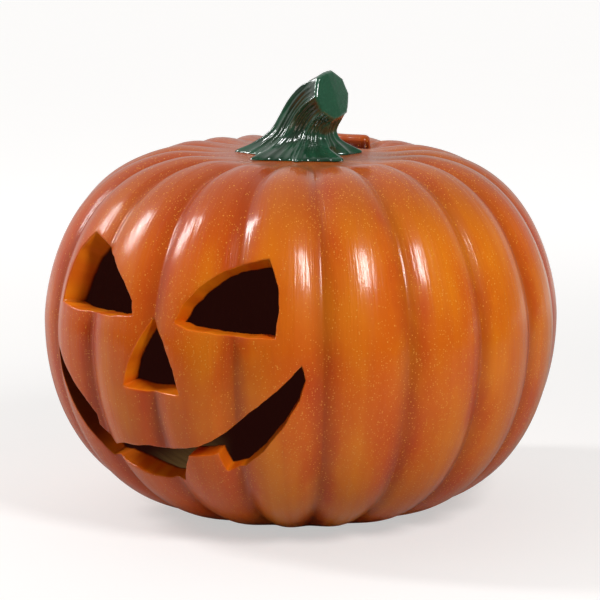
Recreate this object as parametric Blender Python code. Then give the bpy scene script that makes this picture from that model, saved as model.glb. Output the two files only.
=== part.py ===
"""A carved pumpkin lantern: a moulded hollow shell with a cut face, and a green stem that stands on it.

Metres, +Z up. The face looks along -Y and the floor is at z = 0. Angles go round the upright axis from
the middle of the face, positive towards +X.
"""

import math

import bmesh
import bpy
from mathutils import Vector
from mathutils.geometry import delaunay_2d_cdt

# Body: a squat round, fuller below its widest level than above it.
HALF_WIDTH = 0.2515
WIDEST = 0.191
RISE = 0.1666
RISE_ROUND = 0.458
RISE_SHOULDER = 1.18
DROP = 0.1945
DROP_ROUND = 0.615
DROP_SHOULDER = 0.969

# The stem stands on a level floor, and the body stands on a level base.
FLOOR_RADIUS = 0.0665
FLOOR_SINK = 0.0084
BASE_RADIUS = 0.0903

# Ribs, with one groove in the middle of the face.
RIBS = 19
RIB_DEPTH = 0.0095
RIB_ROUND = 0.92
TOP_FADE = 0.05
BASE_FADE = 0.055
TOP_LEAN = math.radians(2.5)

# The top of the skin, with the stem's floor, dips a little towards the front. The hollow doesn't.
DIP = 0.063
DIP_WAY = math.radians(50)
DIP_REACH = (0.072, 0.175)

# The hollow inside follows the body at these depths below the crests, thicker above the nose.
WALL_ABOVE = 0.026
WALL_BELOW = 0.021
WALL_CHANGES = (0.18, 0.25)

# How finely the sheets are divided.
STEPS_PER_RIB = 6
SKIN_ROWS = 23
HOLLOW_STEPS_PER_RIB = 2
HOLLOW_ROWS = 13
CUT_STEP = 0.0085
CLEAR_OF_CUT = 0.0035
FACE_RIBS = 2.5

# Corners of the cuts: degrees round from the middle of the face, millimetres up from the floor.
RIGHT_EYE = [(6.2, 220), (7.8, 236), (10.8, 251), (14.3, 263), (18.8, 273), (26.3, 278.5), (28.5, 253),
             (28.8, 234), (28.0, 210), (18.2, 211), (9.0, 215)]
LEFT_EYE = [(-5.0, 222), (-5.5, 235), (-8.8, 251), (-14.5, 270), (-21.0, 283), (-25.2, 288), (-28.8, 271),
            (-30.2, 249), (-30.9, 221), (-24.5, 218), (-11.0, 219)]
NOSE = [(-0.2, 222), (-3.2, 199), (-5.6, 178), (-7.3, 155), (0.3, 152), (7.1, 154), (5.8, 177), (3.4, 200)]
MOUTH = [(-34.0, 180), (-28.2, 157), (-23.0, 133), (-20.8, 118), (-20.8, 107), (-19.3, 96), (-15.5, 91.5),
         (-11.5, 97), (-3.5, 98), (0.0, 94.5), (5.0, 100), (10.8, 106), (16.8, 119), (22.8, 142),
         (28.5, 163), (33.5, 186), (34.2, 172), (33.0, 154), (29.2, 127), (25.0, 104), (20.2, 85),
         (15.8, 79.5), (14.5, 99), (7.1, 94.5), (5.2, 80), (3.0, 64), (-1.5, 62.5), (-6.2, 67),
         (-10.8, 73), (-16.8, 76), (-21.0, 75), (-22.8, 90), (-25.5, 104), (-29.8, 134), (-33.0, 154)]
MOUTH_SLANT = 0.004

# The rounded lug that stands behind the stem.
LUG_WIDE = 0.050
LUG_DEEP = 0.014
LUG_SIDE = -0.0045
LUG_BACK = 0.092
LUG_TOP = 0.3600
LUG_BOTTOM = 0.3400
LUG_ROUND = 0.0058

# Stem: its centre goes out from the axis and up from the floor, the slice tips over, and it narrows.
STEM_GAP = 0.0003
STEM_TURN = math.radians(83)
STEM_STATIONS = [
    # out, up, tip in degrees, radius, how far the feet and flutes stand out
    (-0.003, 0.0, 0, 0.0540, 0.0085),
    (-0.0025, 0.0025, 0, 0.0518, 0.0083),
    (0.001, 0.009, 2, 0.0415, 0.0050),
    (0.005, 0.018, 9, 0.0310, 0.0030),
    (0.009, 0.029, 22, 0.0262, 0.0024),
    (0.0165, 0.0405, 40, 0.0248, 0.0022),
    (0.0265, 0.050, 60, 0.0246, 0.0018),
    (0.0378, 0.0570, 77, 0.0244, 0.0004),
]
STEM_FLUTES = 8
STEM_STEPS = 48
STEM_RINGS = 15

# The feet aren't quite evenly spaced. Two of them in front are joined by a straight skirt.
FOOT_SHIFT = math.radians(4.7)
FOOT_SWAY = math.radians(6.5)
FOOT_SWAY_AT = math.radians(119.4)
SKIRT_MIDDLE = math.radians(-52.2)
SKIRT_HALF = math.radians(38.5)
SKIRT_SHARE = 1.01
SKIRT_SHARES = (0.1, 0.45)


def clear_scene():
    for thing in list(bpy.data.objects):
        bpy.data.objects.remove(thing, do_unlink=True)


def ease(value):
    value = min(1.0, max(0.0, value))
    return value * value * (3 - 2 * value)


def crest_at(turn):
    """Radius and height of the rib crests, for a turn from -90 (below) to 90 degrees (above)."""
    across, up = math.cos(turn), math.sin(turn)
    if up < 0:
        return HALF_WIDTH * across**DROP_ROUND, WIDEST - DROP * (-up) ** DROP_SHOULDER
    radius = HALF_WIDTH * across**RISE_ROUND
    sink = FLOOR_SINK * ease((2 * FLOOR_RADIUS - radius) / FLOOR_RADIUS)
    return radius, WIDEST + RISE * up**RISE_SHOULDER - sink


def crest_line():
    """The crest profile from the stem's floor down to the base, as (distance along, radius, height)."""
    line = []
    along = 0.0
    for step in range(1601):
        radius, height = crest_at(math.radians(90 - step * 180 / 1600))
        if height > WIDEST and radius < FLOOR_RADIUS:
            continue
        if height < 0 or (height < WIDEST and radius < BASE_RADIUS):
            break
        if line:
            along += math.hypot(radius - line[-1][1], height - line[-1][2])
        line.append((along, radius, height))
    line[0] = (0.0, FLOOR_RADIUS, line[0][2])
    line.append((along + 0.0005, BASE_RADIUS, 0.0))
    return line


CREST = crest_line()
LENGTH = CREST[-1][0]


def crest_spot(along):
    """Radius, height and outward direction of the crest profile, this far along it."""
    low, high = 0, len(CREST) - 1
    while high - low > 1:
        middle = (low + high) // 2
        if CREST[middle][0] <= along:
            low = middle
        else:
            high = middle
    a, b = CREST[low], CREST[high]
    share = (along - a[0]) / (b[0] - a[0])
    before, after = CREST[max(0, low - 8)], CREST[min(len(CREST) - 1, high + 8)]
    go_r, go_z = after[1] - before[1], after[2] - before[2]
    size = math.hypot(go_r, go_z)
    return a[1] + share * (b[1] - a[1]), a[2] + share * (b[2] - a[2]), -go_z / size, go_r / size


def along_at_height(height):
    """How far along the profile the crest is at this height, on the side of the body."""
    for a, b in zip(CREST, CREST[1:]):
        if a[2] >= height > b[2] and a[1] > 0.15:
            return a[0] + (a[2] - height) / (a[2] - b[2]) * (b[0] - a[0])
    return LENGTH


def lean_at(along):
    """How far the ribs lean round the body close to the stem."""
    return TOP_LEAN * (1 - ease(along / 0.12))


def groove_share(place, along):
    """0 on the crest of a rib and 1 in a groove, fading out at the stem and at the base."""
    across = abs(2 * ((place * RIBS / math.tau) % 1.0) - 1)
    rounding = (1 - math.sqrt(1 - RIB_ROUND * across**2)) / (1 - math.sqrt(1 - RIB_ROUND))
    return rounding * ease(along / TOP_FADE) * ease((LENGTH - along) / BASE_FADE)


def body_point(place, along, depth):
    """The point this deep under the crest surface, square to the profile."""
    radius, height, out, up = crest_spot(along)
    radius -= out * depth
    angle = place + lean_at(along)
    return Vector((radius * math.sin(angle), -radius * math.cos(angle), height - up * depth))


def dip_at(point):
    """How far the top of the skin dips here."""
    start, end = DIP_REACH
    reach = 1 - ease((math.hypot(point.x, point.y) - start) / (end - start))
    return DIP * reach * (point.x * math.sin(DIP_WAY) - point.y * math.cos(DIP_WAY))


def skin_point(place, along):
    point = body_point(place, along, RIB_DEPTH * groove_share(place, along))
    if point.z > WIDEST:
        point.z -= dip_at(point)
    return point


def hollow_point(place, along):
    low, high = WALL_CHANGES
    above = ease((crest_spot(along)[1] - low) / (high - low))
    return body_point(place, along, WALL_BELOW + (WALL_ABOVE - WALL_BELOW) * above)


def row_places(count):
    """Distances along the profile, closer together where it bends."""
    marks = [0.0]
    for (_, r0, z0), (_, r1, z1), (_, r2, z2) in zip(CREST, CREST[1:], CREST[2:]):
        step = math.hypot(r1 - r0, z1 - z0) / LENGTH
        turn = math.atan2(z2 - z1, r2 - r1) - math.atan2(z1 - z0, r1 - r0)
        bend = abs((turn + math.pi) % math.tau - math.pi)
        marks.append(marks[-1] + step + 0.18 * min(bend, 0.2))
    rows = [0.0]
    at = 0
    for number in range(1, count):
        target = marks[-1] * number / count
        while marks[at] < target:
            at += 1
        rows.append(CREST[at][0])
    return rows + [LENGTH]


def cut_loop(corners):
    """One cut's outline as (place, along) points, with a point at every groove that it crosses."""
    spots = []
    for degrees, millimetres in corners:
        along = along_at_height(millimetres / 1000)
        spots.append((math.radians(degrees) - lean_at(along), along))
    loop = []
    for (p0, s0), (p1, s1) in zip(spots, spots[1:] + spots[:1]):
        pieces = max(1, round(math.hypot((p1 - p0) * HALF_WIDTH, s1 - s0) / CUT_STEP))
        shares = [number / pieces for number in range(pieces)]
        for groove in range(-RIBS, RIBS):
            place = groove * math.tau / RIBS
            if min(p0, p1) < place < max(p0, p1):
                cross = (place - p0) / (p1 - p0)
                shares = [share for share in shares if share == 0 or abs(share - cross) * pieces > 0.4]
                shares.append(cross)
        for share in sorted(shares):
            loop.append((p0 + share * (p1 - p0), s0 + share * (s1 - s0)))
    return loop


def flat(spot):
    """Where a (place, along) spot lies when the body's surface is laid out flat."""
    return Vector((spot[0] * HALF_WIDTH, spot[1]))


def inside(point, loop):
    hit = False
    for a, b in zip(loop, loop[1:] + loop[:1]):
        if (a.y > point.y) != (b.y > point.y):
            if point.x < a.x + (point.y - a.y) * (b.x - a.x) / (b.y - a.y):
                hit = not hit
    return hit


def near(point, loop, limit):
    for a, b in zip(loop, loop[1:] + loop[:1]):
        span = b - a
        share = max(0.0, min(1.0, (point - a).dot(span) / span.length_squared))
        if (a + span * share - point).length < limit:
            return True
    return False


def make_sheet(mesh, point_at, steps_per_rib, row_count, loops):
    """One skin of the shell with the cuts left open. Returns its (top, base, cut) rings of corners."""
    rows = row_places(row_count)
    columns = RIBS * steps_per_rib
    pitch = math.tau / columns
    face = int(FACE_RIBS * steps_per_rib)
    half = columns // 2
    grid = {}
    for column in range(-half, columns - half):
        for row, along in enumerate(rows):
            grid[column, row] = mesh.verts.new(point_at(column * pitch, along))
    wrap = {column: (column + half) % columns - half for column in range(-half, columns + half)}
    for column in range(face, columns - face):
        for row in range(len(rows) - 1):
            a, b = wrap[column], wrap[column + 1]
            mesh.faces.new((grid[a, row], grid[b, row], grid[b, row + 1], grid[a, row + 1]))

    # The face is divided again so that the edges of the cuts are edges of the sheet.
    outlines = [[flat(spot) for spot in loop] for loop in loops]
    points, corners, ties = [], [], []
    cut_rings = []
    for loop, outline in zip(loops, outlines):
        first = len(points)
        cut_rings.append([mesh.verts.new(point_at(place, along)) for place, along in loop])
        points += outline
        corners += cut_rings[-1]
        ties += [(first + n, first + (n + 1) % len(loop)) for n in range(len(loop))]
    for column in range(-face, face + 1):
        chain = []
        for row, along in enumerate(rows):
            point = flat((column * pitch, along))
            edge = abs(column) == face or row in (0, len(rows) - 1)
            taken = any(near(point, outline, CLEAR_OF_CUT) or inside(point, outline) for outline in outlines)
            if edge or not taken:
                chain.append(len(points))
                points.append(point)
                corners.append(grid[column, row])
            else:
                mesh.verts.remove(grid.pop((column, row)))
        if column % steps_per_rib and abs(column) != face:
            continue
        for outline, first in zip(outlines, first_of(outlines)):
            for number, point in enumerate(outline):
                if abs(point.x - column * pitch * HALF_WIDTH) < 1e-7:
                    chain.append(first + number)
        chain.sort(key=lambda index: points[index].y)
        for a, b in zip(chain, chain[1:]):
            middle = (points[a] + points[b]) / 2
            if not any(inside(middle, outline) for outline in outlines):
                ties.append((a, b))
    spots, _, faces, came_from, _, _ = delaunay_2d_cdt(points, ties, [], 0, 1e-6)
    made = []
    for spot, sources in zip(spots, came_from):
        corner = corners[sources[0]] if sources else mesh.verts.new(point_at(spot.x / HALF_WIDTH, spot.y))
        made.append(corner)
    for triangle in faces:
        middle = (spots[triangle[0]] + spots[triangle[1]] + spots[triangle[2]]) / 3
        if not any(inside(middle, outline) for outline in outlines):
            mesh.faces.new([made[index] for index in triangle])
    order = range(-half, columns - half)
    return [grid[column, 0] for column in order], [grid[column, len(rows) - 1] for column in order], cut_rings


def first_of(outlines):
    """The number of each outline's first point, when the outlines are listed one after another."""
    first = 0
    for outline in outlines:
        yield first
        first += len(outline)


def close_ring(mesh, ring):
    """A level disc across a ring of corners."""
    middle = mesh.verts.new(sum((corner.co for corner in ring), Vector()) / len(ring))
    for a, b in zip(ring, ring[1:] + ring[:1]):
        mesh.faces.new((a, b, middle))


def join_rings(mesh, one, other):
    for n in range(len(one)):
        mesh.faces.new((one[n], one[(n + 1) % len(one)], other[(n + 1) % len(one)], other[n]))


def paint(name, colour, roughness):
    material = bpy.data.materials.new(name)
    material.use_nodes = True
    shader = material.node_tree.nodes["Principled BSDF"]
    shader.inputs["Base Color"].default_value = (*colour, 1.0)
    shader.inputs["Roughness"].default_value = roughness
    return material


def make_object(name, mesh, material, sharp_over):
    bmesh.ops.recalc_face_normals(mesh, faces=mesh.faces)
    for face in mesh.faces:
        face.smooth = True
    for edge in mesh.edges:
        edge.smooth = edge.calc_face_angle(0) < sharp_over
    data = bpy.data.meshes.new(name)
    mesh.to_mesh(data)
    mesh.free()
    data.materials.append(material)
    thing = bpy.data.objects.new(name, data)
    bpy.context.scene.collection.objects.link(thing)
    return thing


def make_shell(material):
    loops = [cut_loop(corners) for corners in (LEFT_EYE, RIGHT_EYE, NOSE, MOUTH)]
    mesh = bmesh.new()
    skin = make_sheet(mesh, skin_point, STEPS_PER_RIB, SKIN_ROWS, loops)
    inner_loops = loops[:-1] + [[(place, along + MOUTH_SLANT) for place, along in loops[-1]]]
    hollow = make_sheet(mesh, hollow_point, HOLLOW_STEPS_PER_RIB, HOLLOW_ROWS, inner_loops)
    for top, base, _ in (skin, hollow):
        close_ring(mesh, top)
        close_ring(mesh, base)
    for outer, inner in zip(skin[2], hollow[2]):
        join_rings(mesh, outer, inner)
    shell = make_object("shell", mesh, material, math.radians(50))
    union = shell.modifiers.new("lug", "BOOLEAN")
    union.operation = "UNION"
    union.solver = "EXACT"
    union.object = make_lug(material)
    return shell


def make_lug(material):
    """The rounded bar that is joined to the shell behind the stem."""
    mesh = bmesh.new()
    bmesh.ops.create_cube(mesh, size=1.0)
    for corner in mesh.verts:
        corner.co.x = LUG_SIDE + corner.co.x * LUG_WIDE
        corner.co.y = LUG_BACK + corner.co.y * LUG_DEEP
        corner.co.z = LUG_TOP if corner.co.z > 0 else LUG_BOTTOM
    bmesh.ops.bevel(mesh, geom=mesh.edges[:], offset=LUG_ROUND, segments=2, profile=0.5, affect="EDGES")
    lug = make_object("lug", mesh, material, math.radians(50))
    lug.hide_render = True
    lug.display_type = "WIRE"
    return lug


def stem_station(share):
    """Out, up, tip, radius and stand-out at this share of the stem's length, eased between stations."""
    place = share * (len(STEM_STATIONS) - 1)
    low = min(int(place), len(STEM_STATIONS) - 2)
    t = place - low
    picks = [STEM_STATIONS[max(0, min(len(STEM_STATIONS) - 1, low + n))] for n in (-1, 0, 1, 2)]
    values = []
    for p0, p1, p2, p3 in zip(*picks):
        go1, go2 = (p2 - p0) / 2, (p3 - p1) / 2
        values.append((2 * t**3 - 3 * t**2 + 1) * p1 + (t**3 - 2 * t**2 + t) * go1
                      + (3 * t**2 - 2 * t**3) * p2 + (t**3 - t**2) * go2)
    return values


def stem_reach(turn, share, radius, stand):
    """How far the stem's side is from its centre line."""
    phase = turn + FOOT_SHIFT + FOOT_SWAY * math.sin(2 * turn + FOOT_SWAY_AT)
    start, end = SKIRT_SHARES
    low_down = 1 - ease((share - start) / (end - start))
    reach = stand * (1 - 2 * abs(math.sin(phase * STEM_FLUTES / 2)) ** 0.8)
    reach -= 1.8 * stand * low_down * (1 - ease((1 - math.cos(phase)) / 0.16))
    aside = abs((turn - SKIRT_MIDDLE + math.pi) % math.tau - math.pi)
    if aside < SKIRT_HALF:
        skirt = radius * (SKIRT_SHARE / math.cos(aside) - 1)
        reach = max(reach, skirt * low_down - 0.004 * (1 - low_down))
    return radius + reach


def make_stem(material):
    floor = CREST[0][2] + STEM_GAP
    out_way = Vector((math.sin(STEM_TURN), -math.cos(STEM_TURN), 0))
    side_way = Vector((math.cos(STEM_TURN), math.sin(STEM_TURN), 0))
    mesh = bmesh.new()
    rings = []
    for number in range(STEM_RINGS + 1):
        share = number / STEM_RINGS
        out, up, tip, radius, stand = stem_station(share)
        tip = math.radians(tip)
        middle = out_way * out + Vector((0, 0, floor + up))
        low_way = out_way * math.cos(tip) - Vector((0, 0, math.sin(tip)))
        ring = []
        for step in range(STEM_STEPS):
            turn = math.tau * step / STEM_STEPS
            way = math.cos(turn) * low_way + math.sin(turn) * side_way
            point = middle + stem_reach(turn, share, radius, stand) * way
            point.z -= dip_at(point) * (1 - ease(share / 0.5))
            ring.append(mesh.verts.new(point))
        rings.append(ring)
    for one, other in zip(rings, rings[1:]):
        join_rings(mesh, one, other)
    close_ring(mesh, rings[0])
    close_ring(mesh, rings[-1])
    return make_object("stem", mesh, material, math.radians(60))


def main():
    clear_scene()
    make_shell(paint("orange_skin", (0.62, 0.17, 0.025), 0.3))
    make_stem(paint("green_stem", (0.015, 0.07, 0.035), 0.22))


main()
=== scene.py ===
# %% [markdown]
# # A carved pumpkin lantern
# The real thing is a hollow pumpkin moulded in resin, half a metre wide. Its face is cut through the
# wall, it is painted by hand in oranges and reds, and it has a glossy varnish. A dark green stem is
# glued on top, with a small bar moulded into the shell behind it.
#
# The solids of the lantern are already made, and they are loaded here as a fixed frame. This file makes
# the surface that people see, in the same place and at the same size.

# %% The frame
import math

import bmesh
import bpy
import numpy as np
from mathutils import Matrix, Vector, noise
from mathutils.geometry import delaunay_2d_cdt


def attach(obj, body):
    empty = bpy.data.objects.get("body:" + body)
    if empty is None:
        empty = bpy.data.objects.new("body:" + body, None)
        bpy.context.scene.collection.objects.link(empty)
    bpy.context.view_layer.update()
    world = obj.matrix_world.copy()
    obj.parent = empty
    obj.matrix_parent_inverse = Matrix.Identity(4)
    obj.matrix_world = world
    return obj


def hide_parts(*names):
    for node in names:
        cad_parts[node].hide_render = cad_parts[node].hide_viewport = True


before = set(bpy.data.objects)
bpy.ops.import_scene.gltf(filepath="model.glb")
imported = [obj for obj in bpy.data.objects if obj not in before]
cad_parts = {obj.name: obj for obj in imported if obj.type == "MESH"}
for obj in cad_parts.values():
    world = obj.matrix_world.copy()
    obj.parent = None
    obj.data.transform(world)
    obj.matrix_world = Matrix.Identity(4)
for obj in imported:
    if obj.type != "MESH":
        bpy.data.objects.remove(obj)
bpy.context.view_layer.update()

# %% [markdown]
# ## The shape of the body
# A pumpkin is round seen from above and squat seen from the side, and the line of its side follows a
# rule: a cosine to a power. So the side is a formula and not a drawn curve, and every place on the skin
# has two numbers. One is the angle round the body from the middle of the face. The other is the distance
# along the side, from the stem's floor down to the base.

# %% Sizes of the body
HALF_WIDTH = 0.2515
WIDEST = 0.191
RISE = 0.1666
RISE_ROUND = 0.458
RISE_SHOULDER = 1.18
DROP = 0.1945
DROP_ROUND = 0.615
DROP_SHOULDER = 0.969
FLOOR_RADIUS = 0.0665
FLOOR_SINK = 0.0084
BASE_RADIUS = 0.0903
TOP_LEAN = math.radians(2.5)
LEAN_ENDS = 0.12
DIP = 0.063
DIP_WAY = math.radians(50)
DIP_REACH = (0.072, 0.175)
BASE_RIM = 0.0005
SIDE_STEPS = 1601
HEADING_STEPS = 8


def ease(value):
    """From 0 to 1 with a soft start and a soft end."""
    value = np.clip(value, 0.0, 1.0)
    return value * value * (3 - 2 * value)


# %% The line of the side
def side_line():
    """Distance along, radius, height and outward direction of the side, from the top to the base."""
    turn = np.radians(np.linspace(90, -90, SIDE_STEPS))
    across, up = np.maximum(np.cos(turn), 0.0), np.sin(turn)
    radius = HALF_WIDTH * across ** np.where(up < 0, DROP_ROUND, RISE_ROUND)
    sink = FLOOR_SINK * ease((2 * FLOOR_RADIUS - radius) / FLOOR_RADIUS)
    above = WIDEST + RISE * np.abs(up) ** RISE_SHOULDER - sink
    below = WIDEST - DROP * np.abs(up) ** DROP_SHOULDER
    height = np.where(up < 0, below, above)
    keep = np.where(height > WIDEST, radius >= FLOOR_RADIUS, (height >= 0) & (radius >= BASE_RADIUS))
    radius, height = radius[keep], height[keep]
    along = np.concatenate([[0.0], np.cumsum(np.hypot(np.diff(radius), np.diff(height)))])
    radius[0] = FLOOR_RADIUS
    along = np.append(along, along[-1] + BASE_RIM)
    radius, height = np.append(radius, BASE_RADIUS), np.append(height, 0.0)
    here = np.arange(len(along))
    before = np.maximum(here - HEADING_STEPS, 0)
    after = np.minimum(here + HEADING_STEPS, len(along) - 1)
    go_r, go_z = radius[after] - radius[before], height[after] - height[before]
    size = np.hypot(go_r, go_z)
    return along, radius, height, -go_z / size, go_r / size


ALONG, RADIUS, HEIGHT, OUTWARD, UPWARD = side_line()
LENGTH = ALONG[-1]
print("the side is", round(LENGTH, 4), "m long")


# %% Places on the body
def lean_at(along):
    """How far the ribs lean round the body, close to the stem."""
    return TOP_LEAN * (1 - ease(along / LEAN_ENDS))


def inward_at(place, along):
    """The direction square into the body."""
    angle = place + lean_at(along)
    out, up = np.interp(along, ALONG, OUTWARD), np.interp(along, ALONG, UPWARD)
    return np.stack([-out * np.sin(angle), out * np.cos(angle), -up], axis=-1)


def body_at(place, along, depth):
    """The point this deep under the crests of the ribs."""
    angle = place + lean_at(along)
    radius, height = np.interp(along, ALONG, RADIUS), np.interp(along, ALONG, HEIGHT)
    point = np.stack([radius * np.sin(angle), -radius * np.cos(angle), height], axis=-1)
    return point + np.asarray(depth)[..., None] * inward_at(place, along)


def dip_at(x, y):
    """How far the top of the skin dips here: the stem's floor slopes a little towards the front."""
    start, end = DIP_REACH
    reach = 1 - ease((np.hypot(x, y) - start) / (end - start))
    return DIP * reach * (x * math.sin(DIP_WAY) - y * math.cos(DIP_WAY))


WALL_ABOVE = 0.026
WALL_BELOW = 0.021
WALL_CHANGES = (0.18, 0.25)


def wall_at(along):
    """How deep the hollow lies under the crests. The wall is thicker above the nose."""
    low, high = WALL_CHANGES
    above = ease((np.interp(along, ALONG, HEIGHT) - low) / (high - low))
    return WALL_BELOW + (WALL_ABOVE - WALL_BELOW) * above


# %% [markdown]
# ## The cuts of the face
# Two eyes, a nose and a mouth with one tooth are cut through the wall. Each is a ring of corners, in
# degrees round from the middle of the face and millimetres up from the floor. A knife held by hand never
# runs quite straight, so the rings are divided and pushed a fraction of a millimetre to and fro.

# %% Corners of the cuts
RIGHT_EYE = [(6.2, 220), (7.8, 236), (10.8, 251), (14.3, 263), (18.8, 273), (26.3, 278.5),
             (28.5, 253), (28.8, 234), (28.0, 210), (18.2, 211), (9.0, 215)]
LEFT_EYE = [(-5.0, 222), (-5.5, 235), (-8.8, 251), (-14.5, 270), (-21.0, 283), (-25.2, 288),
            (-28.8, 271), (-30.2, 249), (-30.9, 221), (-24.5, 218), (-11.0, 219)]
NOSE = [(-0.2, 222), (-3.2, 199), (-5.6, 178), (-7.3, 155), (0.3, 152), (7.1, 154),
        (5.8, 177), (3.4, 200)]
MOUTH = [(-34.0, 180), (-28.2, 157), (-23.0, 133), (-20.8, 118), (-20.8, 107), (-19.3, 96),
         (-15.5, 91.5), (-11.5, 97), (-3.5, 98), (0.0, 94.5), (5.0, 100), (10.8, 106), (16.8, 119),
         (22.8, 142), (28.5, 163), (33.5, 186), (34.2, 172), (33.0, 154), (29.2, 127), (25.0, 104),
         (20.2, 85), (15.8, 79.5), (14.5, 99), (7.1, 94.5), (5.2, 80), (3.0, 64), (-1.5, 62.5),
         (-6.2, 67), (-10.8, 73), (-16.8, 76), (-21.0, 75), (-22.8, 90), (-25.5, 104),
         (-29.8, 134), (-33.0, 154)]
MOUTH_SLANT = 0.004
LEDGE_RISE = 0.0032
FACE_RADIUS = 0.15
KNIFE_STEP = 0.0033
KNIFE_WANDER = 0.0009
KNIFE_REACH = 0.013
KNIFE_SHAKE = 0.35
SHARPEST_CORNER = 0.55


def flat(place, along):
    """Where a place lies when the skin is laid out flat, in metres."""
    return np.stack([place * HALF_WIDTH, along], axis=-1)


# %% Rings of the cuts, laid flat
def cut_ring(corners):
    """One cut's outline on the flat skin, divided into short steps."""
    side = (RADIUS > FACE_RADIUS).nonzero()[0]
    spots = []
    for degrees, millimetres in corners:
        along = np.interp(-millimetres / 1000, -HEIGHT[side], ALONG[side])
        spots.append(flat(math.radians(degrees) - lean_at(along), along))
    ring = []
    for start, end in zip(spots, spots[1:] + spots[:1]):
        steps = max(1, round(math.dist(start, end) / KNIFE_STEP))
        ring += [start + (end - start) * step / steps for step in range(steps)]
    return np.array(ring)


def ring_sides(ring):
    """For each point of a ring, the direction away from the hole, longer at a corner."""
    before, after = ring - np.roll(ring, 1, 0), np.roll(ring, -1, 0) - ring
    turned = np.sum(ring[:, 0] * np.roll(ring[:, 1], -1) - ring[:, 1] * np.roll(ring[:, 0], -1)) > 0
    sides = []
    for way in (before, after):
        way = way / np.linalg.norm(way, axis=1, keepdims=True)
        sides.append(np.stack([way[:, 1], -way[:, 0]], 1) * (1 if turned else -1))
    middle = sides[0] + sides[1]
    middle /= np.linalg.norm(middle, axis=1, keepdims=True)
    return middle / np.maximum((middle * sides[0]).sum(1), SHARPEST_CORNER)[:, None]


def knife_wander(ring, seed):
    """How far the knife strays at each point of a ring, in metres."""
    stray = []
    for x, y in ring:
        slow = noise.noise(Vector((x / KNIFE_REACH, y / KNIFE_REACH, seed)))
        quick = noise.noise(Vector((x / KNIFE_REACH * 3, y / KNIFE_REACH * 3, seed + 5)))
        stray.append(KNIFE_WANDER * (slow + KNIFE_SHAKE * quick))
    return np.array(stray)


CUT_RINGS = [cut_ring(corners) for corners in (LEFT_EYE, RIGHT_EYE, NOSE, MOUTH)]
CUT_TILTS = [(0.0, LEDGE_RISE)] * 3 + [(MOUTH_SLANT, 0.0)]
print("points round the cuts:", [len(ring) for ring in CUT_RINGS])

# %% [markdown]
# ## The blank
# The blank is the shell without its ribs: an outer skin, an inner skin and the walls of the cuts between
# them, as one closed mesh. Most of it is a plain grid of squares. Round the face the grid and the rings
# of the cuts are joined by a Delaunay triangulation, which keeps every edge of a cut as a true edge.
# A Boolean could cut the face too, but it leaves long thin triangles, and they spoil a glossy surface.
#
# Each point carries a few numbers for later: its place round the body, the direction into the body, how
# much of a groove it may take, and how far through the wall it is.

# %% How fine the grid is
RIBS = 19
RIB_PITCH = math.tau / RIBS
SKIN_STEPS = 16
SKIN_ROWS = 150
HOLLOW_STEPS = 5
HOLLOW_ROWS = 50
FACE_RIBS = 2.5
CLEAR_OF_CUT = 0.0016
EDGE_ROUND = 0.0013
EDGE_STEPS = (0.0, 30.0, 60.0, 90.0)
WALL_STEPS = (0.15, 0.3, 0.45, 0.6, 0.75, 0.9)
TOP_FADE = 0.075
BASE_FADE = 0.055
BEND_WEIGHT = 0.18
MOST_BEND = 0.2
WELD = 1e-7
DISC_SHARES = (0.75, 0.45, 0.2)


def rows_along(count):
    """Distances along the side, closer together where it bends."""
    heading = np.arctan2(np.diff(HEIGHT), np.diff(RADIUS))
    bend = np.abs((np.diff(heading) + math.pi) % math.tau - math.pi)
    step = np.hypot(np.diff(RADIUS), np.diff(HEIGHT))[:-1] / LENGTH
    marks = np.concatenate([[0.0], np.cumsum(step + BEND_WEIGHT * np.minimum(bend, MOST_BEND))])
    rows = np.interp(np.linspace(0, marks[-1], count + 1), marks, ALONG[: len(marks)])
    rows[-1] = LENGTH
    return rows


def columns_round(steps):
    """Angles round the body, closer together in the grooves. The first is opposite the face."""
    share = np.sin(np.pi / 2 * np.linspace(-1, 1, steps + 1))[:-1]
    ribs = np.arange(RIBS) - (RIBS - 1) / 2
    return ((ribs[:, None] + share[None, :] / 2) * RIB_PITCH + RIB_PITCH / 2).ravel()


# %% Tests on the flat skin
def inside(points, ring):
    """Which points lie inside a ring."""
    a, b = ring[None], np.roll(ring, -1, 0)[None]
    x, y = points[:, None, 0], points[:, None, 1]
    crosses = (a[..., 1] > y) != (b[..., 1] > y)
    rise = np.where(b[..., 1] == a[..., 1], 1.0, b[..., 1] - a[..., 1])
    left_of = x < a[..., 0] + (y - a[..., 1]) * (b[..., 0] - a[..., 0]) / rise
    return (crosses & left_of).sum(1) % 2 == 1


def beside(points, ring, limit):
    """Which points lie within this distance of a ring."""
    a, span = ring[None], (np.roll(ring, -1, 0) - ring)[None]
    share = ((points[:, None] - a) * span).sum(2) / (span**2).sum(2)
    nearest = a + np.clip(share, 0, 1)[..., None] * span
    return np.linalg.norm(points[:, None] - nearest, axis=2).min(1) < limit


# %% A mesh that is collected piece by piece
class Blank:
    """Points of the blank with their numbers, and the faces between them."""

    def __init__(self):
        self.points = []
        self.faces = []

    def add(self, place, along, depth, wall, room):
        """Adds points and returns their numbers."""
        place, along, depth, wall, room = np.broadcast_arrays(place, along, depth, wall, room)
        first = len(self.points)
        self.points += np.stack([place, along, depth, wall, room], -1).reshape(-1, 5).tolist()
        return np.arange(first, len(self.points)).reshape(place.shape)

    def band(self, one, other, closed=True):
        """Squares between two rows of points."""
        if closed:
            one, other = np.append(one, one[0]), np.append(other, other[0])
        self.faces += np.stack([one[:-1], one[1:], other[1:], other[:-1]], 1).tolist()


def groove_room(along):
    """How much of its depth a groove has here: none at the stem's floor and at the base."""
    return ease(along / TOP_FADE) * ease((LENGTH - along) / BASE_FADE)


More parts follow.
